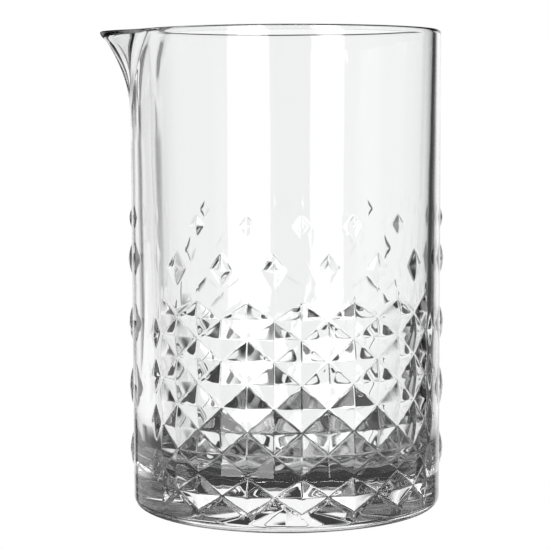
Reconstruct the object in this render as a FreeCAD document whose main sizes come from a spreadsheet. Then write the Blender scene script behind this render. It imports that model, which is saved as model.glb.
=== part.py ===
"""Mixing glass: one pressed piece of clear glass with a pouring spout and a diamond relief.

Frame, in millimetres: the origin is the centre of the resting face on the axis of the glass,
+Z is up and the spout points along -X. Angles around the glass ("turn") start at -Y, the
front, and grow towards +X, so the spout is at -90 degrees.
"""
import FreeCAD, Part
import Sketcher
import math
import os

V = FreeCAD.Vector

SIZES = {
    # the turned body
    "body_height": 152.0,
    "body_radius": 49.5,
    "heel_radius": 3.2,
    "rim_wall": 4.1,
    "cavity_floor": 12.5,
    "cavity_floor_radius": 42.9,
    "cavity_corner": 10.0,
    "cavity_shift": 1.2,
    "cavity_overrun": 5.0,
    # the band of touching diamonds
    "band_bottom": 5.6,
    "band_top": 70.6,
    "band_recess": 2.0,
    "band_root": 0.6,
    "band_overlap": 0.4,
    "lattice_bottom": 6.1,
    "lattice_top": 70.0,
    "row_gaps": 10,
    "gap_swell": 0.47,
    "column_pitch": 18.95,
    "panel_columns": 6,
    "front_panel_turn": 5.3,
    "back_panel_turn": 182.3,
    "diamond_rise": 1.0,
    "groove_depth": 0.1,
    "panel_edge_pull": 1.9,
    "panel_edge_width": 0.8,
    "plain_strip": 3.0,
    "band_clearance": 0.05,
    # single diamonds: the two fading rows, the seam columns and the panel edges
    "fade_one_level": 79.4,
    "fade_one_width": 8.4,
    "fade_one_length": 11.0,
    "fade_two_level": 92.5,
    "fade_two_width": 5.9,
    "fade_two_length": 7.2,
    "single_rise": 0.9,
    "single_root": 0.2,
    "single_anchor": 1.4,
    "seam_turn": 90.0,
    "seam_width": 15.0,
    "seam_length": 15.4,
    "seam_lowest_share": 0.8,
    "seam_rise": 1.3,
    "edge_leaf_turn": 59.6,
    "edge_leaf_width": 5.6,
    "edge_leaf_length": 11.5,
    # the spout
    "spout_turn": -90.0,
    "spout_reach": 9.8,
    "trough_extra": 2.9,
    "spout_depth": 28.0,
    "spout_run_out": 3.0,
    "spout_half_turn_top": 34.0,
    "spout_half_turn_low": 15.0,
    "spout_crease": 0.7,
    "spout_tip_power": 1.25,
    "spout_back_share": 0.96,
    "spout_back_depth": 1.8,
    "trough_back_depth": 9.0,
    "trough_overrun": 2.0,
    # the star under the base
    "star_radius": 40.0,
    "star_points": 20,
    "star_valley": 1.7,
    "star_ridge": 0.6,
    "star_centre": 1.3,
    "star_overrun": 2.0,
}


def make_sheet(doc):
    """Put every driving dimension in a spreadsheet cell with an alias."""
    sheet = doc.addObject("Spreadsheet::Sheet", "sizes")
    for row, (alias, value) in enumerate(SIZES.items(), start=1):
        sheet.set("A%d" % row, alias)
        sheet.set("B%d" % row, str(value))
        sheet.setAlias("B%d" % row, alias)
    doc.recompute()
    return sheet


def on_glass(radius, turn, level):
    """A point at a radius, a turn from the front in degrees, and a level above the base."""
    angle = math.radians(turn)
    return V(radius * math.sin(angle), -radius * math.cos(angle), level)


def triangle(first, second, third):
    """A flat three-cornered face."""
    return Part.Face(Part.makePolygon([first, second, third, first]))


def flat_face(points):
    """A flat face through a closed loop of points."""
    return Part.Face(Part.makePolygon(points + points[:1]))


def closed_solid(faces, name):
    """Sew faces into one closed solid, turned the right way out."""
    shell = Part.Shell(faces)
    shell.sewShape()
    solid = Part.Solid(shell)
    if solid.Volume < 0:
        solid.reverse()
    if not (shell.isClosed() and solid.isValid()):
        raise RuntimeError(name + " is not a closed solid")
    return solid


# ---------------------------------------------------------------- the turned body


def origin_plane(body, role):
    """One of a body's own origin planes, found by its role."""
    for feature in body.Origin.OriginFeatures:
        if feature.Role == role:
            return feature
    raise RuntimeError("no plane " + role)


def attached_sketch(body, name):
    """A sketch on the body's XZ plane, where x is the radius and y the level."""
    sketch = body.newObject("Sketcher::SketchObject", name)
    sketch.AttachmentSupport = [(origin_plane(body, "XZ_Plane"), "")]
    sketch.MapMode = "FlatFace"
    return sketch


def add_outline(sketch, corners):
    """Draw a closed outline of straight lines and give each corner its two bound distances.

    corners holds (radius expression, level expression, starting radius, starting level).
    """
    count = len(corners)
    for index in range(count):
        start = V(corners[index][2], corners[index][3], 0)
        end = V(corners[(index + 1) % count][2], corners[(index + 1) % count][3], 0)
        sketch.addGeometry(Part.LineSegment(start, end), False)
    for index in range(count):
        sketch.addConstraint(Sketcher.Constraint("Coincident", index, 2, (index + 1) % count, 1))
    for index, (radius_rule, level_rule, radius, level) in enumerate(corners):
        for kind, rule, value in (("DistanceX", radius_rule, radius), ("DistanceY", level_rule, level)):
            number = sketch.addConstraint(Sketcher.Constraint(kind, -1, 1, index, 1, value))
            sketch.setExpression("Constraints[%d]" % number, rule)


def turned(body, kind, name, sketch):
    """Turn a sketch a full circle about the glass's axis, to add or to remove glass."""
    feature = body.newObject(kind, name)
    feature.Profile = sketch
    feature.ReferenceAxis = (sketch, ["V_Axis"])
    feature.Angle = 360
    body.Tip = feature
    return feature


def make_blank(doc, size):
    """The turned body: a thick cylinder with its cavity, stepped in where the band goes."""
    body = doc.addObject("PartDesign::Body", "blank")
    radius, height = size.body_radius, size.body_height
    outside = attached_sketch(body, "outside_profile")
    add_outline(outside, [
        ("0 mm", "0 mm", 0, 0),
        ("sizes.body_radius", "0 mm", radius, 0),
        ("sizes.body_radius", "sizes.band_bottom", radius, size.band_bottom),
        ("sizes.body_radius - sizes.band_recess", "sizes.band_bottom",
         radius - size.band_recess, size.band_bottom),
        ("sizes.body_radius - sizes.band_recess", "sizes.band_top",
         radius - size.band_recess, size.band_top),
        ("sizes.body_radius", "sizes.band_top", radius, size.band_top),
        ("sizes.body_radius", "sizes.body_height", radius, height),
        ("0 mm", "sizes.body_height", 0, height),
    ])
    turned(body, "PartDesign::Revolution", "outside", outside)
    inside = attached_sketch(body, "cavity_profile")
    inside.setExpression("AttachmentOffset.Base.x", "sizes.cavity_shift")
    mouth = radius - size.rim_wall
    above = height + size.cavity_overrun
    add_outline(inside, [
        ("0 mm", "sizes.cavity_floor", 0, size.cavity_floor),
        ("sizes.cavity_floor_radius", "sizes.cavity_floor", size.cavity_floor_radius, size.cavity_floor),
        ("sizes.body_radius - sizes.rim_wall", "sizes.body_height", mouth, height),
        ("sizes.body_radius - sizes.rim_wall", "sizes.body_height + sizes.cavity_overrun", mouth, above),
        ("0 mm", "sizes.body_height + sizes.cavity_overrun", 0, above),
    ])
    doc.recompute()
    full_volume = body.Shape.Volume
    turned(body, "PartDesign::Groove", "cavity", inside)
    doc.recompute()
    if body.Shape.Volume > 0.5 * full_volume:
        raise RuntimeError("the cavity removed too little glass")
    round_edges(doc, body, "heel_round", "sizes.heel_radius", 0.0, radius)
    round_edges(doc, body, "cavity_round", "sizes.cavity_corner", size.cavity_floor,
                size.cavity_floor_radius + size.cavity_shift)
    return body


def round_edges(doc, body, name, rule, level, radius):
    """Round the circular edge of the body at a level and a radius."""
    near = 0.01
    names = []
    for number, edge in enumerate(body.Shape.Edges, start=1):
        box = edge.BoundBox
        flat = abs(box.ZMin - level) < near and abs(box.ZMax - level) < near
        if flat and abs(box.XMax - radius) < near:
            names.append("Edge%d" % number)
    if not names:
        raise RuntimeError("no edge for " + name)
    base = body.Tip
    fillet = body.newObject("PartDesign::Fillet", name)
    fillet.Base = (base, names)
    fillet.setExpression("Radius", rule)
    body.Tip = fillet
    doc.recompute()


# ---------------------------------------------------------------- the diamond band


def row_levels(size):
    """Levels of the lattice rows, bottom row first. The gaps are widest in the middle."""
    count = int(size.row_gaps)
    gaps = [1 + size.gap_swell * math.sin(math.pi * (row + 0.5) / count) for row in range(count)]
    scale = (size.lattice_top - size.lattice_bottom) / sum(gaps)
    levels = [size.lattice_bottom]
    for gap in gaps:
        levels.append(levels[-1] + gap * scale)
    return levels


def lattice_rise(size, row, step):
    """How far a lattice vertex stands out: the peak of a diamond, or a groove crossing.

    Rows count up from the bottom, and steps are half columns from the panel's middle.
    """
    last_row = int(size.row_gaps)
    if (row + step) % 2 != 0 and 0 < row < last_row:
        return size.diamond_rise
    return -size.groove_depth


def panel_columns(size, panel_turn):
    """A panel's vertical lines of vertices: (turn, half-column step, or None where plain)."""
    steps = int(size.panel_columns)
    inner = [(panel_turn + step * size.column_pitch / 2, step) for step in range(1 - steps, steps)]
    half_width = steps * size.column_pitch / 2 - size.panel_edge_pull
    first, last = panel_turn - half_width, panel_turn + half_width
    edge = size.panel_edge_width
    return [(first - edge, None), (first, -steps)] + inner + [(last, steps), (last + edge, None)]


def band_columns(size):
    """All vertical lines around the glass: both panels, and plain strips between them."""
    columns = []
    panels = [panel_columns(size, size.front_panel_turn), panel_columns(size, size.back_panel_turn)]
    for index, panel in enumerate(panels):
        columns.extend(panel)
        start = panel[-1][0]
        end = panels[1 - index][0][0] + (360 if index == 1 else 0)
        count = math.ceil((end - start) / size.plain_strip)
        for part in range(1, count):
            columns.append((start + (end - start) * part / count, None))
    return columns


def band_point(size, column, row, levels, plain_radius):
    """The vertex of the band's outside at a column and a row of the level list."""
    turn, step = column
    last_row = len(levels) - 1
    radius = plain_radius
    if step is not None and 0 < row < last_row:
        radius += lattice_rise(size, row - 1, step)
    return on_glass(radius, turn, levels[row])


def lattice_cell(size, left, right, row, levels, plain_radius):
    """Two facets between two columns and two rows, split along the groove."""
    low_left = band_point(size, left, row, levels, plain_radius)
    low_right = band_point(size, right, row, levels, plain_radius)
    top_left = band_point(size, left, row + 1, levels, plain_radius)
    top_right = band_point(size, right, row + 1, levels, plain_radius)
    step = left[1] if left[1] is not None else right[1] + 1
    groove_rises = (row - 1 + step) % 2 == 0
    if groove_rises:
        return [triangle(low_left, low_right, top_right), triangle(low_left, top_right, top_left)]
    return [triangle(low_left, low_right, top_left), triangle(low_right, top_right, top_left)]


def plain_strip(left, right, levels, radius):
    """One flat vertical strip of the band between two plain columns."""
    up = [on_glass(radius, right[0], level) for level in levels]
    down = [on_glass(radius, left[0], level) for level in reversed(levels)]
    return flat_face(up + down)


def make_band(doc, size):
    """The faceted band: touching four-sided diamonds in two panels, plain strips between."""
    plain_radius = size.body_radius - size.band_clearance
    inner_radius = size.body_radius - size.band_recess - size.band_root
    lowest = size.band_bottom - size.band_overlap
    highest = size.band_top + size.band_overlap
    levels = [lowest] + row_levels(size) + [highest]
    columns = band_columns(size)
    faces = []
    for index, left in enumerate(columns):
        right = columns[(index + 1) % len(columns)]
        if left[1] is None and right[1] is None:
            faces.append(plain_strip(left, right, levels, plain_radius))
        else:
            for row in range(len(levels) - 1):
                faces.extend(lattice_cell(size, left, right, row, levels, plain_radius))
        inner = [on_glass(inner_radius, side[0], level) for side, level in
                 ((left, lowest), (right, lowest), (right, highest), (left, highest))]
        faces.append(flat_face(inner))
        for level in (lowest, highest):
            faces.append(flat_face([on_glass(plain_radius, left[0], level),
                                    on_glass(plain_radius, right[0], level),
                                    on_glass(inner_radius, right[0], level),
                                    on_glass(inner_radius, left[0], level)]))
    band = doc.addObject("Part::Feature", "diamond_band")
    band.Shape = closed_solid(faces, "the diamond band")
    return band


# ---------------------------------------------------------------- single diamonds


def single_diamond(size, turn, level, width, length, rise):
    """A four-sided diamond that stands on the body, its root sunk in the glass."""
    root = size.body_radius - size.single_root
    half_turn = math.degrees(width / 2 / size.body_radius)
    left = on_glass(root, turn - half_turn, level)
    right = on_glass(root, turn + half_turn, level)
    top = on_glass(root, turn, level + length / 2)
    bottom = on_glass(root, turn, level - length / 2)
    peak = on_glass(size.body_radius + rise, turn, level)
    anchor = on_glass(root - size.single_anchor, turn, level)
    ring = [right, top, left, bottom]
    faces = []
    for index, corner in enumerate(ring):
        following = ring[(index + 1) % 4]
        faces.append(triangle(corner, following, peak))
        faces.append(triangle(following, corner, anchor))
    return closed_solid(faces, "a single diamond")


def fading_rows(size):
    """The two rows of single diamonds above the band, in both panels."""
    solids = []
    half = size.panel_columns / 2
    for panel_turn in (size.front_panel_turn, size.back_panel_turn):
        for index in range(int(size.panel_columns)):
            turn = panel_turn + (index + 0.5 - half) * size.column_pitch
            solids.append(single_diamond(size, turn, size.fade_one_level, size.fade_one_width,
                                         size.fade_one_length, size.single_rise))
        for index in range(1, int(size.panel_columns)):
            turn = panel_turn + (index - half) * size.column_pitch
            solids.append(single_diamond(size, turn, size.fade_two_level, size.fade_two_width,
                                         size.fade_two_length, size.single_rise))
    return solids


def seam_columns(size):
    """The column of well-spaced diamonds on each mould seam, under the spout and opposite."""
    levels = row_levels(size)
    places = [(levels[2], size.seam_length * size.seam_lowest_share), (levels[5], size.seam_length),
              (levels[8], size.seam_length), (size.fade_one_level, size.fade_one_length)]
    solids = []
    for turn in (-size.seam_turn, size.seam_turn):
        for level, length in places:
            solids.append(single_diamond(size, turn, level, size.seam_width, length, size.seam_rise))
        solids.append(single_diamond(size, turn, size.fade_two_level, size.fade_one_width,
                                     size.fade_two_length, size.single_rise))
    return solids


def edge_leaves(size):
    """The slim diamonds along each panel's upright edges, level with every other row."""
    levels = row_levels(size)
    solids = []
    for panel_turn in (size.front_panel_turn, size.back_panel_turn):
        for side in (-1, 1):
            turn = panel_turn + side * size.edge_leaf_turn
            for row in range(2, int(size.row_gaps), 2):
                solids.append(single_diamond(size, turn, levels[row], size.edge_leaf_width,
                                             size.edge_leaf_length, size.single_rise))
    return solids


def make_singles(doc, size):
    """Every diamond that doesn't touch its neighbours, as one compound of solids."""
    singles = doc.addObject("Part::Feature", "single_diamonds")
    singles.Shape = Part.makeCompound(fading_rows(size) + seam_columns(size) + edge_leaves(size))
    return singles


# ---------------------------------------------------------------- the spout


def cavity_radius(size, level):
    """Radius of the tapered cavity at a level."""
    share = (level - size.cavity_floor) / (size.body_height - size.cavity_floor)
    mouth = size.body_radius - size.rim_wall
    return size.cavity_floor_radius + (mouth - size.cavity_floor_radius) * share


def spout_section(size, drop, wall_radius, back_radius, full_reach):
    """A closed outline across the spout at a drop below the rim, bulging from a wall radius.

    The bulge dies away as the square of the height left, then sinks into the wall.
    """
    share = 1 - drop / size.spout_depth
    reach = full_reach * share * abs(share)
    spread = max(0.0, share) ** 2
    half_turn = size.spout_half_turn_low + (size.spout_half_turn_top - size.spout_half_turn_low) * spread
    level = size.body_height - drop
    steps = 24
    bulge = []
    for step in range(-steps, steps + 1):
        across = step / steps
        bump = (0.5 + 0.5 * math.cos(math.pi * across)) ** size.spout_tip_power
        radius = wall_radius - size.spout_crease + (reach + size.spout_crease) * bump
        bulge.append(on_glass(radius, size.spout_turn + across * half_turn, level))
    curve = Part.BSplineCurve()
    curve.interpolate(bulge)
    back_turn = half_turn * size.spout_back_share
    corners = [bulge[-1],
               on_glass(back_radius, size.spout_turn + back_turn, level),
               on_glass(back_radius, size.spout_turn - back_turn, level),
               bulge[0]]
    lines = [Part.LineSegment(corners[index], corners[index + 1]).toShape() for index in range(3)]
    return Part.Wire([curve.toShape()] + lines)


def make_spout(doc, size):
    """The spout's outside as a solid, and its trough as the solid to be cut from it."""
    sections = 8
    lowest = size.spout_depth + size.spout_run_out
    above_rim = size.trough_overrun
    outside_back = size.body_radius - size.spout_back_depth
    trough_back = size.body_radius - size.trough_back_depth
    outside, inside = [], []
    for index in range(sections):
        share = index / (sections - 1)
        outside.append(spout_section(size, lowest * share, size.body_radius, outside_back,
                                     size.spout_reach))
        drop = (lowest + above_rim) * share - above_rim
        wall_radius = cavity_radius(size, size.body_height - drop) - size.cavity_shift
        inside.append(spout_section(size, drop, wall_radius, trough_back,
                                    size.spout_reach + size.trough_extra))
    spout = doc.addObject("Part::Feature", "spout_outside")
    spout.Shape = Part.makeLoft(outside, True, False)
    trough = doc.addObject("Part::Feature", "spout_trough")
    trough.Shape = Part.makeLoft(inside, True, False)
    return spout, trough


# ---------------------------------------------------------------- the star under the base


def make_star(doc, size):
    """The hollow under the base: a fan of flat facets, deep and shallow by turns."""
    points = int(size.star_points) * 2
    rim, foot = [], []
    for index in range(points):
        depth = size.star_valley if index % 2 else size.star_ridge
        turn = 360.0 * index / points
        rim.append(on_glass(size.star_radius, turn, depth))
        foot.append(on_glass(size.star_radius, turn, -size.star_overrun))
    centre = V(0, 0, size.star_centre)
    faces = [flat_face(foot)]
    for index in range(points):
        following = (index + 1) % points
        faces.append(triangle(rim[index], rim[following], centre))
        faces.append(flat_face([foot[index], foot[following], rim[following], rim[index]]))
    star = doc.addObject("Part::Feature", "base_star")
    star.Shape = closed_solid(faces, "the base star")
    return star


# ---------------------------------------------------------------- the whole glass


def join_glass(doc, pieces, cutters):
    """Fuse the pieces of the one glass body and cut the hollows from it."""
    fused = doc.addObject("Part::MultiFuse", "fused_glass")
    fused.Shapes = pieces
    fused.Refine = True
    result = fused
    for name, cutter in cutters:
        cut = doc.addObject("Part::Cut", name)
        cut.Base = result
        cut.Tool = cutter
        cut.Refine = True
        result = cut
    doc.recompute()
    return result


def check(doc, glass):
    """Stop if anything in the document failed, or the glass isn't one valid solid."""
    for thing in doc.Objects:
        if "Invalid" in thing.State or "Error" in thing.State:
            raise RuntimeError(thing.Name + " failed: " + str(thing.State))
    shape = glass.Shape
    if shape.isNull() or not shape.isValid() or len(shape.Solids) != 1:
        raise RuntimeError("the glass is not one valid solid: %d solids" % len(shape.Solids))
    if not shape.Solids[0].isClosed():
        raise RuntimeError("the glass is open")


def main():
    """Build the glass and write its STEP file."""
    doc = FreeCAD.newDocument("mixing_glass")
    size = make_sheet(doc)
    blank = make_blank(doc, size)
    band = make_band(doc, size)
    singles = make_singles(doc, size)
    spout, trough = make_spout(doc, size)
    star = make_star(doc, size)
    glass = join_glass(doc, [blank, band, singles, spout],
                       [("with_trough", trough), ("mixing_glass", star)])
    glass.Label = "mixing_glass"
    check(doc, glass)
    box = glass.Shape.optimalBoundingBox()
    print("mixing_glass: %d faces, %.1f x %.1f x %.1f mm, %.1f cm3 of glass"
          % (len(glass.Shape.Faces), box.XLength, box.YLength, box.ZLength, glass.Shape.Volume / 1000))
    os.makedirs("parts", exist_ok=True)
    glass.Shape.exportStep("parts/mixing_glass.step")


main()
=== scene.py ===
"""Looks of the mixing glass: one mesh of pressed clear glass, a pale floor and a plain white studio.

The glass is worked out in millimetres, as its CAD source is, and written in metres. Angles
around it ("turn") are in degrees, start at -Y, the front, and grow towards +X, so the spout is
at -90. Levels are heights above the resting face.
"""

import math

import bpy
import numpy as np
from mathutils import Matrix, Vector


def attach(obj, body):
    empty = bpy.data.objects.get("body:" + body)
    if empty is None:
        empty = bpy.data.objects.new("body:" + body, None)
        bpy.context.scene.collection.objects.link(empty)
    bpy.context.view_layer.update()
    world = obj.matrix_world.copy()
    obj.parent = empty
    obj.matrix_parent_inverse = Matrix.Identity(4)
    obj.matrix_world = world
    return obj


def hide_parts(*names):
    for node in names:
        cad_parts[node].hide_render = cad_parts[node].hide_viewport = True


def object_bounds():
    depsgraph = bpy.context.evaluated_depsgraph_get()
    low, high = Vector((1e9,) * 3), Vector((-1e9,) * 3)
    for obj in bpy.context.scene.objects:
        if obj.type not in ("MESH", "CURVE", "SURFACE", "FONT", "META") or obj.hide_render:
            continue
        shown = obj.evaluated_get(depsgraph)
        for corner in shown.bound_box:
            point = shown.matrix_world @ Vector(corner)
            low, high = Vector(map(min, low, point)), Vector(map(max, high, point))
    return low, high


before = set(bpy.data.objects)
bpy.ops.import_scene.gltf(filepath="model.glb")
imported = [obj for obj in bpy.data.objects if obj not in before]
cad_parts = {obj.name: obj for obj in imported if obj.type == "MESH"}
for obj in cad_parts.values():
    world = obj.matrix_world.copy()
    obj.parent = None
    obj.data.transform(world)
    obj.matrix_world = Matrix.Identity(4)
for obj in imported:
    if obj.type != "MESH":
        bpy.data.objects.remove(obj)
CAD_LOW, CAD_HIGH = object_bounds()

MM = 0.001

# ---------------------------------------------------------------- sizes of the glass, in mm

HEIGHT = CAD_HIGH.z / MM
BODY_RADIUS = 49.5
HEEL_RADIUS = 3.2
RIM_WALL = 4.1
CAVITY_FLOOR = 12.5
CAVITY_FLOOR_RADIUS = 42.9
CAVITY_SHIFT = 1.2
TROUGH_EXTRA = 2.9
CAVITY_CORNER = 10.0
LIP_OUTER_ROUND = 0.7
LIP_INNER_ROUND = 0.6

# the lattice of touching diamonds: rows of vertices, and panels of columns half a pitch apart
LATTICE_BOTTOM = 6.1
LATTICE_TOP = 70.0
ROW_GAPS = 10
GAP_SWELL = 0.47
HALF_PITCH = 18.95 / 2
PANEL_STEPS = 6
PANEL_TURNS = (5.3, 182.3 - 360)
DIAMOND_RISE = 1.0
GROOVE_DEPTH = 0.1
PANEL_EDGE_PULL = 1.9
PANEL_EDGE_WIDTH = 0.8
RIDGE_ROUND = 0.04
PLAIN_BLEND = 0.3
LATTICE_FULLNESS = 0.5
SINGLE_FULLNESS = 0.8

# single diamonds
FADE_ONE_LEVEL = 79.4
FADE_ONE_HALF_LENGTH = 5.5
FADE_ONE_SHARE = 0.5
FADE_TWO_LEVEL = 92.5
FADE_TWO_HALF_LENGTH = 3.6
FADE_TWO_SHARE = 0.35
SINGLE_RISE = 0.9
SEAM_TURNS = (-90.0, 90.0)
SEAM_HALF_TURN = math.degrees(7.5 / BODY_RADIUS)
SEAM_ROWS = (2, 5, 8)
SEAM_TOP_SHARE = 0.55
SEAM_RISE = 1.25
LEAF_TURN = 59.6
LEAF_HALF_TURN = math.degrees(2.8 / BODY_RADIUS)
LEAF_SHARE = 0.85
LEAF_ROWS = (2, 4, 6, 8)

# the spout
SPOUT_TURN = -90.0
SPOUT_REACH = -CAD_LOW.x / MM - BODY_RADIUS
SPOUT_DEPTH = 28.0
SPOUT_HALF_TURN_TOP = 34.0
SPOUT_HALF_TURN_LOW = 15.0
SPOUT_CREASE = 0.7
SPOUT_TIP_POWER = 1.25
CREASE_ROUND = 0.8
SPOUT_RUN_OUT = 0.26
SPOUT_BEAD = 0.8
SPOUT_BEAD_DROP = 1.6
SPOUT_BEAD_SPREAD = 1.4

# the star under the base
STAR_RADIUS = 40.0
STAR_FACETS = 40
STAR_VALLEY = 1.7
STAR_RIDGE = 0.6
STAR_CENTRE = 1.3
STAR_EDGE = 0.5

# where the mesh is cut, as shares of a half column or a row gap; the list is symmetric, so that
# every groove and diamond edge runs from grid point to grid point
STEPS = (0, 0.05, 0.15, 0.25, 0.35, 0.45, 0.5, 0.55, 0.65, 0.75, 0.85, 0.95, 1)
LEAF_STEPS = (0, 0.15, 0.35, 0.55, 0.75, 0.85)
STAR_STEPS = (0, 0.1, 0.35, 0.65, 0.9)
RELIEF_TOP = 97.5
WIDEST_COLUMN = 2.4
TALLEST_ROW = 4.0
SPOUT_COLUMN = 0.9
SPOUT_ROW = 1.0
NEAR = 1e-4
HEEL_PARTS = 9
LIP_PARTS = 8
CORNER_PARTS = 8
PANEL_EDGE_PARTS = 3
STAR_RING_SHARES = (0.06, 0.3, 0.6, 0.85, 0.97, 0.985)
STAR_EDGE_PARTS = 2
CAVITY_FLOOR_SHARES = (0.85, 0.6, 0.3, 0.08)


# ---------------------------------------------------------------- small helpers


def on_glass(radius, turn, level):
    """Points at a radius, a turn from the front in degrees, and a level. Arrays or numbers."""
    angle = np.radians(turn)
    flat = np.broadcast_arrays(radius * np.sin(angle), -radius * np.cos(angle), level)
    return np.stack(flat, axis=-1).astype(float)


def smooth_step(share):
    """0 to 1 with level ends."""
    share = np.clip(share, 0, 1)
    return share * share * (3 - 2 * share)


def soft_abs(value, rounding):
    """The size of a value, rounded near zero."""
    return np.sqrt(value * value + rounding * rounding)


def soft_max(first, second, rounding):
    """The larger of two values, rounded where they cross."""
    return (first + second + soft_abs(first - second, rounding)) / 2


def fuller(share, fullness):
    """A share from 0 to 1 that grows faster at first: the fullness of a pressed facet."""
    return share * (1 + fullness * (1 - share))


def filled(values, widest, period=None):
    """The values in order, without repeats, and with even steps put in every gap over widest."""
    ordered = sorted(set(round(value, 6) for value in values))
    if period:
        ordered.append(ordered[0] + period)
    result = []
    for start, end in zip(ordered, ordered[1:]):
        parts = max(1, math.ceil((end - start) / widest - 1e-6))
        result.extend(start + (end - start) * part / parts for part in range(parts))
    return np.array(result if period else result + [ordered[-1]])


# ---------------------------------------------------------------- the shape of the wall


def row_levels():
    """Levels of the lattice rows, bottom row first. The gaps are widest in the middle."""
    gaps = [1 + GAP_SWELL * math.sin(math.pi * (row + 0.5) / ROW_GAPS) for row in range(ROW_GAPS)]
    scale = (LATTICE_TOP - LATTICE_BOTTOM) / sum(gaps)
    levels = [LATTICE_BOTTOM]
    for gap in gaps:
        levels.append(levels[-1] + gap * scale)
    return levels


def step_turn(step):
    """Turn of a vertical line of lattice vertices from its panel's middle."""
    pull = PANEL_EDGE_PULL if abs(step) == PANEL_STEPS else 0
    return step * HALF_PITCH - math.copysign(pull, step)


def spout_bulge(turn, level):
    """How far the spout pushes the wall out at a turn and a level."""
    share = np.maximum(1 - (HEIGHT - level) / SPOUT_DEPTH, -SPOUT_RUN_OUT)
    reach = SPOUT_REACH * share * np.abs(share)
    spread = np.maximum(share, 0) ** 2
    half_turn = SPOUT_HALF_TURN_LOW + (SPOUT_HALF_TURN_TOP - SPOUT_HALF_TURN_LOW) * spread
    across = np.clip((turn - SPOUT_TURN) / half_turn, -1, 1)
    bump = (0.5 + 0.5 * np.cos(math.pi * across)) ** SPOUT_TIP_POWER
    bulge = (reach + SPOUT_CREASE) * bump - SPOUT_CREASE
    plain = soft_max(-SPOUT_CREASE, 0, CREASE_ROUND)
    return np.maximum(soft_max(bulge, 0, CREASE_ROUND) - plain, 0)


def outer_radius(turn, level):
    """Radius of the plain outside of the wall, spout and the bead at its tip included."""
    bulge = spout_bulge(turn, level)
    off_bead = (HEIGHT - level - SPOUT_BEAD_DROP) / SPOUT_BEAD_SPREAD
    return BODY_RADIUS + bulge + SPOUT_BEAD * bulge / SPOUT_REACH * np.exp(-off_bead * off_bead)


def inner_radius(turn, level):
    """Radius of the tapered cavity, trough of the spout included."""
    mouth = BODY_RADIUS - RIM_WALL
    share = (level - CAVITY_FLOOR) / (HEIGHT - CAVITY_FLOOR)
    aside = CAVITY_SHIFT * np.sin(np.radians(turn))
    trough = spout_bulge(turn, level) * (1 + TROUGH_EXTRA / SPOUT_REACH)
    return CAVITY_FLOOR_RADIUS + (mouth - CAVITY_FLOOR_RADIUS) * share + aside + trough


# ---------------------------------------------------------------- the relief


def turn_between(turns, turn):
    """Signed turn from one place to others, from -180 to 180."""
    return (turns - turn + 180) % 360 - 180


def columns_near(turns, turn, reach):
    """The columns within reach of a turn, in order, and how far aside of it each one lies."""
    aside = turn_between(turns, turn)
    columns = np.flatnonzero(np.abs(aside) < reach)
    columns = columns[np.argsort(aside[columns])]
    return columns, aside[columns]


def lattice_radius(row, step):
    """Radius of a lattice vertex: the peak of a diamond, or a crossing of the grooves."""
    if (row + step) % 2 != 0 and 0 < row < ROW_GAPS:
        return BODY_RADIUS + DIAMOND_RISE
    return BODY_RADIUS - GROOVE_DEPTH


def lattice_cell(panel_turn, step, row, levels, turns, heights):
    """The points of one lattice cell: two flat facets that meet at a groove, with soft ridges.

    The cell lies between two half columns and two rows. The groove joins the two corners that
    are no peaks. Where a facet has no peak, above the top row and below the bottom row, the
    cell keeps to the plain wall.
    """
    sides = [step, step + 1]
    rising = (row + step) % 2 == 0
    if rising:
        sides.reverse()
    side_turns = [panel_turn + step_turn(side) for side in sides]
    across = (turns[None, :] - side_turns[0]) / (side_turns[1] - side_turns[0])
    up = (heights[:, None] - levels[row]) / (levels[row + 1] - levels[row])
    across, up = np.broadcast_arrays(across, up)
    corner = {}
    for column in (0, 1):
        for line in (0, 1):
            radius = lattice_radius(row + line, sides[column])
            corner[column, line] = on_glass(radius, side_turns[column], levels[row + line])
    near = across + up <= 1
    spare = np.abs(1 - across - up)[..., None]
    near_point = corner[0, 0] * spare + corner[1, 0] * across[..., None] + corner[0, 1] * up[..., None]
    far_point = (corner[1, 1] * spare + corner[1, 0] * (1 - up[..., None])
                 + corner[0, 1] * (1 - across[..., None]))
    point = np.where(near[..., None], near_point, far_point)
    rounded = soft_max(1 - soft_abs(across, RIDGE_ROUND) - soft_abs(up, RIDGE_ROUND),
                       1 - soft_abs(1 - across, RIDGE_ROUND) - soft_abs(1 - up, RIDGE_ROUND), RIDGE_ROUND)
    offset = (fuller(rounded, LATTICE_FULLNESS) - spare[..., 0]) * (DIAMOND_RISE + GROOVE_DEPTH)
    outward = on_glass(1.0, turns[None, :], 0.0 * heights[:, None])
    relief = point + outward * offset[..., None]
    plain = on_glass(BODY_RADIUS, turns[None, :], heights[:, None])
    blend = smooth_step(spare / PLAIN_BLEND)
    flat = point + (plain - point) * blend
    near_is_plain = (row == 0)
    far_is_plain = (row + 1 == ROW_GAPS)
    is_plain = np.where(near, near_is_plain, far_is_plain)[..., None]
    return np.where(is_plain, flat, relief), rising


def add_lattice(points, rising, turns, heights, levels):
    """Put both panels of touching diamonds into the wall's grid of points."""
    for panel_turn in PANEL_TURNS:
        for step in range(-PANEL_STEPS, PANEL_STEPS):
            left, right = panel_turn + step_turn(step), panel_turn + step_turn(step + 1)
            columns, aside = columns_near(turns, (left + right) / 2, (right - left) / 2 + NEAR)
            for row in range(ROW_GAPS):
                lines = np.flatnonzero((heights > levels[row] - NEAR) & (heights < levels[row + 1] + NEAR))
                cell, cell_rising = lattice_cell(panel_turn, step, row, levels,
                                                 (left + right) / 2 + aside, heights[lines])
                points[np.ix_(lines, columns)] = cell
                rising[np.ix_(lines[:-1], columns[:-1])] = cell_rising
        for side in (-1, 1):
            add_panel_edge(points, turns, heights, panel_turn, side)


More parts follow.
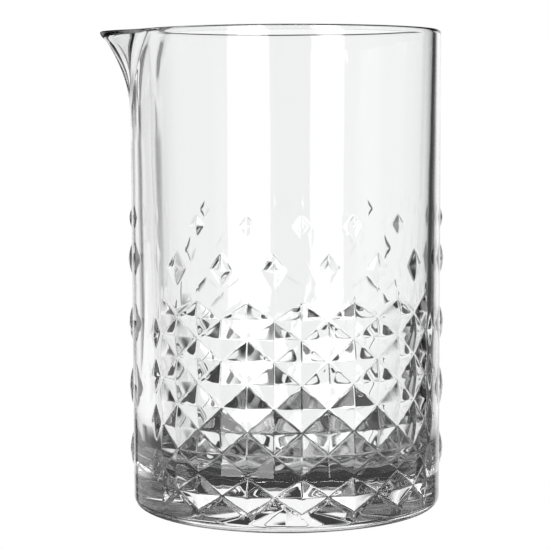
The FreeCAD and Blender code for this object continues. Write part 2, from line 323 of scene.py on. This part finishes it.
def add_panel_edge(points, turns, heights, panel_turn, side):
    """Let the wall rise from plain to the lattice's last column over a narrow strip."""
    edge_turn = panel_turn + side * step_turn(PANEL_STEPS)
    edge = int(np.argmin(np.abs(turn_between(turns, edge_turn))))
    lines = np.flatnonzero((heights > LATTICE_BOTTOM - NEAR) & (heights < LATTICE_TOP + NEAR))
    edge_radius = np.hypot(points[lines, edge, 0], points[lines, edge, 1])
    away = turn_between(turns, edge_turn) * side / PANEL_EDGE_WIDTH
    for column in np.flatnonzero((away > NEAR) & (away < 1 + NEAR)):
        radius = edge_radius + (BODY_RADIUS - edge_radius) * smooth_step(away[column])
        points[lines, column] = on_glass(radius, turns[column], heights[lines])


def single_diamonds(levels):
    """Every diamond that stands alone: (turn, level, half turn, length down, length up, rise)."""
    found = []
    half = PANEL_STEPS / 2
    for panel_turn in PANEL_TURNS:
        for index in range(PANEL_STEPS):
            turn = panel_turn + (index + 0.5 - half) * 2 * HALF_PITCH
            found.append((turn, FADE_ONE_LEVEL, FADE_ONE_SHARE * HALF_PITCH,
                          FADE_ONE_HALF_LENGTH, FADE_ONE_HALF_LENGTH, SINGLE_RISE))
        for index in range(1, PANEL_STEPS):
            turn = panel_turn + (index - half) * 2 * HALF_PITCH
            found.append((turn, FADE_TWO_LEVEL, FADE_TWO_SHARE * HALF_PITCH,
                          FADE_TWO_HALF_LENGTH, FADE_TWO_HALF_LENGTH, SINGLE_RISE))
        for side in (-1, 1):
            for row in LEAF_ROWS:
                down = (levels[row] - levels[row - 1]) * LEAF_SHARE
                up = (levels[row + 1] - levels[row]) * LEAF_SHARE
                found.append((panel_turn + side * LEAF_TURN, levels[row], LEAF_HALF_TURN,
                              down, up, SINGLE_RISE))
    for turn in SEAM_TURNS:
        for row in SEAM_ROWS:
            found.append((turn, levels[row], SEAM_HALF_TURN, levels[row] - levels[row - 1],
                          levels[row + 1] - levels[row], SEAM_RISE))
        found.append((turn, FADE_ONE_LEVEL, SEAM_HALF_TURN,
                      FADE_ONE_HALF_LENGTH, FADE_ONE_HALF_LENGTH, SEAM_RISE))
        found.append((turn, FADE_TWO_LEVEL, SEAM_TOP_SHARE * SEAM_HALF_TURN,
                      FADE_TWO_HALF_LENGTH, FADE_TWO_HALF_LENGTH, SINGLE_RISE))
    return found


def add_single(points, rising, turns, heights, diamond):
    """Put one four-sided diamond on the wall: flat facets with soft ridges."""
    turn, level, half_turn, down, up, rise = diamond
    columns, aside = columns_near(turns, turn, half_turn + NEAR)
    lines = np.flatnonzero((heights > level - down - NEAR) & (heights < level + up + NEAR))
    above = heights[lines] - level
    across = np.abs(aside[None, :]) / half_turn
    along = np.abs(above[:, None]) / np.where(above[:, None] < 0, down, up)
    share = 1 - across - along
    peak = on_glass(BODY_RADIUS + rise, turn, level)
    side = on_glass(BODY_RADIUS, turn + half_turn * np.sign(aside[None, :]), level)
    tip = on_glass(BODY_RADIUS, turn, level + np.where(above[:, None] < 0, -down, up))
    facet = peak * share[..., None] + side * across[..., None] + tip * along[..., None]
    rounded = 1 - soft_abs(across, RIDGE_ROUND) - soft_abs(along, RIDGE_ROUND)
    outward = on_glass(1.0, turns[columns][None, :], 0.0 * above[:, None])
    full = fuller(np.maximum(rounded, 0), SINGLE_FULLNESS)
    facet = facet + outward * (full - share)[..., None] * rise
    block = np.ix_(lines, columns)
    points[block] = np.where(share[..., None] > NEAR, facet, points[block])
    middle_turn = (aside[:-1] + aside[1:]) / 2
    middle_level = (above[:-1] + above[1:]) / 2
    rising[np.ix_(lines[:-1], columns[:-1])] = (middle_turn[None, :] < 0) == (middle_level[:, None] > 0)


def relief_turns():
    """Turns of the grid's columns where the wall carries relief."""
    turns = []
    for panel_turn in PANEL_TURNS:
        for step in range(-PANEL_STEPS, PANEL_STEPS):
            left, right = step_turn(step), step_turn(step + 1)
            turns.extend(panel_turn + left + (right - left) * share for share in STEPS)
        for side in (-1, 1):
            edge = step_turn(PANEL_STEPS)
            turns.extend(panel_turn + side * (edge + PANEL_EDGE_WIDTH * part / PANEL_EDGE_PARTS)
                         for part in range(1, PANEL_EDGE_PARTS + 1))
            for share in LEAF_STEPS:
                aside = LEAF_HALF_TURN * (1 - share / LEAF_SHARE)
                turns.extend(panel_turn + side * LEAF_TURN + way * aside for way in (-1, 1))
    for turn in SEAM_TURNS:
        turns.extend(turn + way * SEAM_HALF_TURN * share for share in STEPS for way in (-1, 1))
    return filled([(turn + 180) % 360 - 180 for turn in turns], WIDEST_COLUMN, period=360)


def single_lines(level, half_length, share):
    """Levels through a row of single diamonds: where its edges cross the grid's columns."""
    inside = [step / share for step in STEPS if step <= share]
    shares = [1 - step for step in inside] + [inside[1]]
    return [level + way * half_length * part for part in shares for way in (-1, 1)]


def relief_heights(levels):
    """Levels of the grid's rows where the wall carries relief."""
    heights = [HEEL_RADIUS, RELIEF_TOP]
    for low, high in zip(levels, levels[1:]):
        heights.extend(low + (high - low) * share for share in STEPS)
    heights.extend(single_lines(FADE_ONE_LEVEL, FADE_ONE_HALF_LENGTH, FADE_ONE_SHARE))
    heights.extend(single_lines(FADE_TWO_LEVEL, FADE_TWO_HALF_LENGTH, FADE_TWO_SHARE))
    return filled(heights, TALLEST_ROW)


def relief_wall():
    """The grid of points of the outer wall up to the last diamonds, and how its quads split."""
    levels = row_levels()
    turns, heights = relief_turns(), relief_heights(levels)
    points = on_glass(BODY_RADIUS, turns[None, :], heights[:, None])
    rising = np.ones((len(heights), len(turns)), bool)
    add_lattice(points, rising, turns, heights, levels)
    for diamond in single_diamonds(levels):
        add_single(points, rising, turns, heights, diamond)
    return turns, points, rising


# ---------------------------------------------------------------- rings of the glass


def star_rings():
    """Rings under the base from the centre out: the fan of facets and its rounded edge."""
    pitch = 360 / STAR_FACETS
    turns = np.array([pitch * (facet + share) - 180 for facet in range(STAR_FACETS) for share in STAR_STEPS])
    facet = np.floor((turns + 180) / pitch + 1e-9)
    share = ((turns + 180) / pitch - facet)[:, None]
    depth = [np.where((facet + end) % 2 > 0, STAR_VALLEY, STAR_RIDGE) for end in (0, 1)]
    start = on_glass(STAR_RADIUS, facet * pitch - 180, depth[0])
    end = on_glass(STAR_RADIUS, (facet + 1) * pitch - 180, depth[1])
    edge = start + (end - start) * share
    centre = np.array([0, 0, STAR_CENTRE])
    rings = [centre + (edge - centre) * scale for scale in STAR_RING_SHARES]
    radius = np.hypot(edge[:, 0], edge[:, 1])
    for part in range(STAR_EDGE_PARTS + 1):
        angle = math.pi / 2 * part / STAR_EDGE_PARTS
        rings.append(on_glass(radius + STAR_EDGE * (1 - math.cos(angle)), turns,
                              STAR_EDGE * (1 - math.sin(angle))))
    return turns, rings, centre


def heel_rings(turns):
    """Rings round the heel, from the resting face to the foot of the wall."""
    rings = []
    for part in range(HEEL_PARTS):
        angle = math.pi / 2 * part / HEEL_PARTS
        radius = BODY_RADIUS - HEEL_RADIUS * (1 - math.sin(angle))
        rings.append(on_glass(radius, turns, HEEL_RADIUS * (1 - math.cos(angle))))
    return rings


def upper_turns():
    """Turns of the columns above the relief and inside: close together round the spout."""
    reach = SPOUT_HALF_TURN_TOP + 2
    start, end = SPOUT_TURN - reach, SPOUT_TURN + reach
    spout = filled([start, end], SPOUT_COLUMN)
    rest = filled([end, start + 360], WIDEST_COLUMN)
    return filled([(turn + 180) % 360 - 180 for turn in (*spout, *rest)], WIDEST_COLUMN, period=360)


def steps_down(start, end, widest):
    """Even steps from one level down to another, the first one left out."""
    count = math.ceil((start - end) / widest)
    return [start + (end - start) * part / count for part in range(1, count + 1)]


def upper_rings(turns):
    """Rings up the plain wall, over the rounded lip, down the cavity and in over its floor."""
    spout_foot = HEIGHT - SPOUT_DEPTH * (1 + SPOUT_RUN_OUT)
    lip_start = HEIGHT - LIP_OUTER_ROUND
    rising_levels = list(filled([RELIEF_TOP + 1.5, spout_foot], TALLEST_ROW))
    rising_levels += sorted(steps_down(lip_start, spout_foot, SPOUT_ROW))[1:]
    rings = [on_glass(outer_radius(turns, level), turns, level) for level in rising_levels]
    for part in range(LIP_PARTS):
        angle = math.pi / 2 * part / LIP_PARTS
        level = lip_start + LIP_OUTER_ROUND * math.sin(angle)
        inset = LIP_OUTER_ROUND * (1 - math.cos(angle))
        rings.append(on_glass(outer_radius(turns, level) - inset, turns, level))
    inner_reach = outer_radius(turns, HEIGHT) - LIP_OUTER_ROUND - inner_radius(turns, HEIGHT)
    for part in range(LIP_PARTS):
        angle = math.pi / 2 * (1 - part / LIP_PARTS)
        level = HEIGHT - LIP_INNER_ROUND * (1 - math.sin(angle))
        inset = inner_reach * (1 - math.cos(angle))
        rings.append(on_glass(inner_radius(turns, level) + inset, turns, level))
    top = HEIGHT - LIP_INNER_ROUND
    corner_top = CAVITY_FLOOR + CAVITY_CORNER
    falling_levels = [top] + steps_down(top, spout_foot, SPOUT_ROW)
    falling_levels += steps_down(spout_foot, corner_top, 2 * TALLEST_ROW)
    rings += [on_glass(inner_radius(turns, level), turns, level) for level in falling_levels]
    wall = inner_radius(turns, corner_top)
    for part in range(1, CORNER_PARTS + 1):
        angle = math.pi / 2 * part / CORNER_PARTS
        radius = wall - CAVITY_CORNER * (1 - math.cos(angle))
        rings.append(on_glass(radius, turns, corner_top - CAVITY_CORNER * math.sin(angle)))
    flat = wall - CAVITY_CORNER
    rings += [on_glass(flat * share, turns, CAVITY_FLOOR) for share in CAVITY_FLOOR_SHARES]
    return rings


# ---------------------------------------------------------------- the mesh


def strip_faces(first, second, rising):
    """Two triangles for each quad between two rings of vertex numbers."""
    next_first, next_second = np.roll(first, -1), np.roll(second, -1)
    up = [np.stack([first, next_first, next_second], 1), np.stack([first, next_second, second], 1)]
    down = [np.stack([first, next_first, second], 1), np.stack([next_first, next_second, second], 1)]
    chosen = [np.where(rising[:, None], up[part], down[part]) for part in (0, 1)]
    return np.concatenate(chosen)


def joining_faces(first, first_turns, second, second_turns):
    """Triangles between two rings whose columns stand at different turns."""
    faces = []
    here, there = 0, 0
    count, other = len(first), len(second)
    while here < count or there < other:
        next_here = first_turns[(here + 1) % count] + 360 * ((here + 1) // count)
        next_there = second_turns[(there + 1) % other] + 360 * ((there + 1) // other)
        if there == other or (here < count and next_here <= next_there):
            faces.append((first[here % count], first[(here + 1) % count], second[there % other]))
            here += 1
        else:
            faces.append((first[here % count], second[(there + 1) % other], second[there % other]))
            there += 1
    return np.array(faces)


def glass_mesh():
    """The whole glass as one closed mesh, from the centre under the base to the cavity floor."""
    star_turns, star, star_centre = star_rings()
    turns, wall, rising = relief_wall()
    tops = upper_turns()
    heel_rising = np.ones((HEEL_PARTS, len(turns)), bool)
    bands = [
        (star_turns, star, None),
        (turns, heel_rings(turns) + list(wall), np.concatenate([heel_rising, rising])),
        (tops, upper_rings(tops), None),
    ]
    points, faces = [star_centre[None, :]], []
    used = 1
    last_ring, last_turns = None, None
    for band_turns, rings, splits in bands:
        for index, ring in enumerate(rings):
            numbers = np.arange(used, used + len(ring))
            used += len(ring)
            points.append(ring)
            if last_ring is None:
                centre = np.zeros(len(ring), int)
                faces.append(np.stack([centre, np.roll(numbers, -1), numbers], 1))
            elif index == 0:
                faces.append(joining_faces(last_ring, last_turns, numbers, band_turns))
            else:
                split = np.ones(len(ring), bool) if splits is None else splits[index - 1]
                faces.append(strip_faces(last_ring, numbers, split))
            last_ring, last_turns = numbers, band_turns
    points.append(np.array([[0, 0, CAVITY_FLOOR]]))
    faces.append(np.stack([last_ring, np.roll(last_ring, -1), np.full(len(last_ring), used)], 1))
    mesh = bpy.data.meshes.new("mixing_glass_mesh")
    mesh.from_pydata((np.concatenate(points) * MM).tolist(), [], np.concatenate(faces).tolist())
    mesh.polygons.foreach_set("use_smooth", [True] * len(mesh.polygons))
    mesh.update()
    return mesh


# ---------------------------------------------------------------- nodes


def add_node(tree, kind, inputs=(), **settings):
    """A node with its settings, and each input set to a number or linked to a socket."""
    node = tree.nodes.new(kind)
    for name, value in settings.items():
        setattr(node, name, value)
    for name, value in dict(inputs).items():
        if isinstance(value, bpy.types.NodeSocket):
            tree.links.new(value, node.inputs[name])
        else:
            node.inputs[name].default_value = value
    return node


def calc(tree, operation, *values):
    """The result of a math node."""
    return add_node(tree, "ShaderNodeMath", enumerate(values), operation=operation).outputs[0]


def product(tree, first, *others):
    """Several numbers multiplied together."""
    for other in others:
        first = calc(tree, "MULTIPLY", first, other)
    return first


def ramp(tree, value, low, high):
    """A smooth 0 to 1 as a value goes from low to high; the other way round if low is above high."""
    inputs = {"Value": value, "From Min": min(low, high), "From Max": max(low, high),
              "To Min": float(low > high), "To Max": float(low < high)}
    return add_node(tree, "ShaderNodeMapRange", inputs, interpolation_type="SMOOTHSTEP").outputs[0]


def mix(tree, share, first, second):
    """One number fading into another."""
    inputs = {"Factor": share, "A": first, "B": second}
    return add_node(tree, "ShaderNodeMix", inputs, data_type="FLOAT").outputs[0]


# ---------------------------------------------------------------- material of the glass


GLASS_IOR = 1.52
WAVE_SCALE = 38.0
WAVE_STRENGTH = 0.04
WAVE_DEPTH = 0.002
SCUFF_SCALE = 900.0
SCUFF_RANGE = (0.35, 0.7)
SCUFF_ROUGHNESS = 0.35
STANDING_HEIGHT = 0.0006
FAINT_TINT = (0.985, 0.99, 0.988, 1.0)
CLEAR_TINT = (0.998, 1.0, 1.0, 1.0)


def glass_material():
    """Clear pressed glass: faint mould waves, and a dull worn ring where it stands."""
    material = bpy.data.materials.new("clear_pressed_glass")
    material.use_nodes = True
    tree = material.node_tree
    tree.nodes.clear()
    place = add_node(tree, "ShaderNodeTexCoord").outputs["Object"]
    level = add_node(tree, "ShaderNodeSeparateXYZ", {"Vector": place}).outputs["Z"]
    waves = add_node(tree, "ShaderNodeTexNoise", {"Vector": place, "Scale": WAVE_SCALE, "Detail": 1.0})
    scuffs = add_node(tree, "ShaderNodeTexNoise", {"Vector": place, "Scale": SCUFF_SCALE, "Detail": 3.0})
    standing = ramp(tree, level, STANDING_HEIGHT, 0.0)
    roughness = product(tree, standing, ramp(tree, scuffs.outputs["Fac"], *SCUFF_RANGE), SCUFF_ROUGHNESS)
    tint = add_node(tree, "ShaderNodeMix", {"Factor": waves.outputs["Fac"], "A": FAINT_TINT,
                                            "B": CLEAR_TINT}, data_type="RGBA")
    bump = add_node(tree, "ShaderNodeBump", {"Height": waves.outputs["Fac"], "Strength": WAVE_STRENGTH,
                                             "Distance": WAVE_DEPTH})
    shader = add_node(tree, "ShaderNodeBsdfPrincipled", {
        "Base Color": tint.outputs["Result"], "Roughness": roughness, "IOR": GLASS_IOR,
        "Transmission Weight": 1.0, "Normal": bump.outputs["Normal"]})
    add_node(tree, "ShaderNodeOutputMaterial", {"Surface": shader.outputs[0]})
    return material


def make_glass():
    """The visible glass, which stands for the CAD node."""
    glass = bpy.data.objects.new("pressed_glass", glass_mesh())
    bpy.context.scene.collection.objects.link(glass)
    glass.data.materials.append(glass_material())
    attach(glass, "root")
    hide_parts("mixing_glass")
    return glass


# ---------------------------------------------------------------- studio


def angle_from(tree, axes, turn):
    """Angle in degrees between a direction's compass bearing and a turn from the front."""
    east, north, _ = on_glass(1.0, turn, 0.0)
    flat = calc(tree, "SQRT", calc(tree, "ADD", product(tree, axes["X"], axes["X"]),
                                   product(tree, axes["Y"], axes["Y"])))
    along = calc(tree, "ADD", product(tree, axes["X"], float(east)), product(tree, axes["Y"], float(north)))
    cosine = calc(tree, "DIVIDE", along, calc(tree, "MAXIMUM", flat, NEAR))
    clamped = calc(tree, "MINIMUM", calc(tree, "MAXIMUM", cosine, -1.0), 1.0)
    return calc(tree, "DEGREES", calc(tree, "ARCCOSINE", clamped))


# strengths, and places in degrees; each pair is where a fade starts and where it ends
FRONT_LIGHT = 0.2
SIDE_LIGHT = 0.55
FRONT_TO_SIDE = (125.0, 70.0)
WALL_FOOT = (-17.0, -12.0)
WALL_HEAD = (12.0, 4.0)
DARK_LIGHT = 0.04
DARK_SIDES = (44.0, 60.0)
BACK_LIGHT = 1.01
BACK_TURN = 176.0
BACK_SIDES = (30.5, 21.5)
BACK_FOOT = (-20.0, -14.0)
BACK_HEAD = (18.0, 8.0)
CEILING_LIGHT = 0.6
CEILING_FADE = (50.0, 60.0)
LEFT_PANEL_TURN = -135.0
LEFT_PANEL_SIDES = (17.0, 11.0)
LEFT_PANEL_LIGHT = 0.85
# tall soft lamps in front of the glass: (turn, half turn, strength)
SOFTBOXES = ((-29.5, 12.5, 5.0), (31.5, 9.0, 5.0))
SOFTBOX_FADE = 1.5
SOFTBOX_FOOT = (-12.0, -9.0)
# light that has bounced this often inside the glass is given one calm value
LONG_PATH = 7
LONG_PATH_LIGHT = 0.25
# white sheets that stand behind the glass for the other sides, each lit only by light that has
# gone through a number of glass faces: (turn, elevation, half turn, half height, fade, faces)
SHEETS = (
    (-135.0, -25.0, 28.0, 18.0, 5.0, 3),
    (45.0, -15.0, 28.0, 18.0, 5.0, 2),
    (-90.0, -3.0, 28.0, 18.0, 5.0, 3),
)


def sheet_share(tree, axes, elevation, sheet):
    """How much of a white sheet lies in a direction, 0 to 1, without the test of glass faces."""
    turn, middle, half_turn, half_height, fade, _ = sheet
    inside = ramp(tree, angle_from(tree, axes, turn), half_turn + fade, half_turn - fade)
    above = calc(tree, "ABSOLUTE", calc(tree, "SUBTRACT", elevation, middle))
    return product(tree, inside, ramp(tree, above, half_height + fade, half_height - fade))


def studio_world():
    """White for the camera. The glass sees a white back, dark flanks, two tall lamps and the sheets."""
    world = bpy.data.worlds.new("studio")
    bpy.context.scene.world = world
    world.use_nodes = True
    tree = world.node_tree
    tree.nodes.clear()
    direction = add_node(tree, "ShaderNodeTexCoord").outputs["Generated"]
    axes = add_node(tree, "ShaderNodeSeparateXYZ", {"Vector": direction}).outputs
    path = add_node(tree, "ShaderNodeLightPath").outputs
    elevation = calc(tree, "DEGREES", calc(tree, "ARCSINE", axes["Z"]))
    aside = angle_from(tree, axes, 180.0)
    walls = mix(tree, ramp(tree, aside, *FRONT_TO_SIDE), FRONT_LIGHT, SIDE_LIGHT)
    level = product(tree, ramp(tree, elevation, *WALL_FOOT), ramp(tree, elevation, *WALL_HEAD))
    panel = ramp(tree, angle_from(tree, axes, LEFT_PANEL_TURN), *LEFT_PANEL_SIDES)
    panel = product(tree, panel, level)
    level = product(tree, level, ramp(tree, aside, *DARK_SIDES))
    light = mix(tree, level, DARK_LIGHT, walls)
    light = mix(tree, panel, light, LEFT_PANEL_LIGHT)
    back = product(tree, ramp(tree, angle_from(tree, axes, BACK_TURN), *BACK_SIDES),
                   ramp(tree, elevation, *BACK_FOOT), ramp(tree, elevation, *BACK_HEAD))
    light = mix(tree, back, light, BACK_LIGHT)
    light = mix(tree, ramp(tree, elevation, *CEILING_FADE), light, CEILING_LIGHT)
    for sheet in SHEETS:
        through = calc(tree, "GREATER_THAN", path["Transmission Depth"], sheet[-1] - 0.5)
        share = product(tree, sheet_share(tree, axes, elevation, sheet), through)
        light = mix(tree, share, light, BACK_LIGHT)
    for turn, half, strength in SOFTBOXES:
        inside = ramp(tree, angle_from(tree, axes, turn), half + SOFTBOX_FADE, half - SOFTBOX_FADE)
        box = product(tree, inside, ramp(tree, elevation, *SOFTBOX_FOOT), strength)
        light = calc(tree, "ADD", light, box)
    long_way = calc(tree, "GREATER_THAN", path["Ray Depth"], LONG_PATH - 0.5)
    light = mix(tree, long_way, light, LONG_PATH_LIGHT)
    strength = mix(tree, path["Is Camera Ray"], light, 1.0)
    background = add_node(tree, "ShaderNodeBackground", {"Color": (1, 1, 1, 1), "Strength": strength})
    add_node(tree, "ShaderNodeOutputWorld", {"Surface": background.outputs[0]})


FLOOR_RADIUS = 0.8
FLOOR_SIDES = 96
FLOOR_GAP = 0.0003
# the part of the floor that is seen through a single wall, in metres from the glass's axis
RUNNER_TURN = -135.0
RUNNER_START = 0.13
RUNNER_SIDE = 0.062
RUNNER_FAR_SIDE = 0.060
RUNNER_FADE = 0.01


def studio_floor():
    """A pale disc under the glass that melts into the white backdrop.

    The camera sees all of it. The glass sees one strip, and only through a single wall, so that
    the far wall above the rim stays clear in views from above.
    """
    angles = [2 * math.pi * side / FLOOR_SIDES for side in range(FLOOR_SIDES)]
    ring = [(FLOOR_RADIUS * math.cos(angle), FLOOR_RADIUS * math.sin(angle), -FLOOR_GAP)
            for angle in angles]
    mesh = bpy.data.meshes.new("floor_mesh")
    mesh.from_pydata(ring, [], [tuple(range(FLOOR_SIDES))])
    floor = bpy.data.objects.new("floor", mesh)
    bpy.context.scene.collection.objects.link(floor)
    material = bpy.data.materials.new("pale_floor")
    material.use_nodes = True
    tree = material.node_tree
    tree.nodes.clear()
    place = add_node(tree, "ShaderNodeTexCoord").outputs["Object"]
    axes = add_node(tree, "ShaderNodeSeparateXYZ", {"Vector": place}).outputs
    east, north, _ = on_glass(1.0, RUNNER_TURN, 0.0)
    away = calc(tree, "ADD", product(tree, axes["X"], float(east)), product(tree, axes["Y"], float(north)))
    across = calc(tree, "SUBTRACT", product(tree, axes["X"], float(north)),
                  product(tree, axes["Y"], float(east)))
    strip = product(tree, ramp(tree, across, -RUNNER_SIDE, RUNNER_FADE - RUNNER_SIDE),
                    ramp(tree, across, RUNNER_FAR_SIDE, RUNNER_FAR_SIDE - RUNNER_FADE),
                    ramp(tree, away, RUNNER_START, RUNNER_START + RUNNER_FADE))
    path = add_node(tree, "ShaderNodeLightPath").outputs
    one_wall = calc(tree, "COMPARE", path["Transmission Depth"], 2.0, 0.5)
    shown = calc(tree, "MAXIMUM", path["Is Camera Ray"], product(tree, strip, one_wall))
    clear = add_node(tree, "ShaderNodeBsdfTransparent").outputs[0]
    white = add_node(tree, "ShaderNodeEmission", {"Color": (1, 1, 1, 1), "Strength": 1.0}).outputs[0]
    shader = add_node(tree, "ShaderNodeMixShader", {0: shown, 1: clear, 2: white})
    add_node(tree, "ShaderNodeOutputMaterial", {"Surface": shader.outputs[0]})
    mesh.materials.append(material)
    floor.visible_glossy = False
    floor.visible_diffuse = False


SENSOR_WIDTH = 36.0
LENS = 120.25
CAMERA_PLACE = (0, -0.5905, 0.1259)
CAMERA_DOWN = 5.03
CAMERA_LEFT = 0.344
CAMERA_ROLL = -0.184
MOST_BOUNCES = 14
GLOSSY_BOUNCES = 12


def photo_camera():
    """A long lens a little above the glass's middle, looking slightly down."""
    camera = bpy.data.objects.new("camera", bpy.data.cameras.new("camera"))
    bpy.context.scene.collection.objects.link(camera)
    camera.data.sensor_width = SENSOR_WIDTH
    camera.data.lens = LENS
    camera.data.clip_start = 0.01
    pitch = math.radians(90 - CAMERA_DOWN)
    yaw = math.radians(CAMERA_LEFT)
    roll = math.radians(CAMERA_ROLL)
    turned = Matrix.Rotation(yaw, 4, "Z") @ Matrix.Rotation(pitch, 4, "X") @ Matrix.Rotation(roll, 4, "Z")
    camera.matrix_world = Matrix.Translation(Vector(CAMERA_PLACE)) @ turned
    bpy.context.scene.camera = camera


def set_render():
    """Colours as they are, and enough bounces for a thick faceted glass."""
    scene = bpy.context.scene
    scene.view_settings.view_transform = "Standard"
    scene.cycles.max_bounces = MOST_BOUNCES
    scene.cycles.transmission_bounces = MOST_BOUNCES
    scene.cycles.glossy_bounces = GLOSSY_BOUNCES
    scene.cycles.sample_clamp_indirect = 0.0


photo_camera()
studio_floor()
studio_world()
set_render()
make_glass()
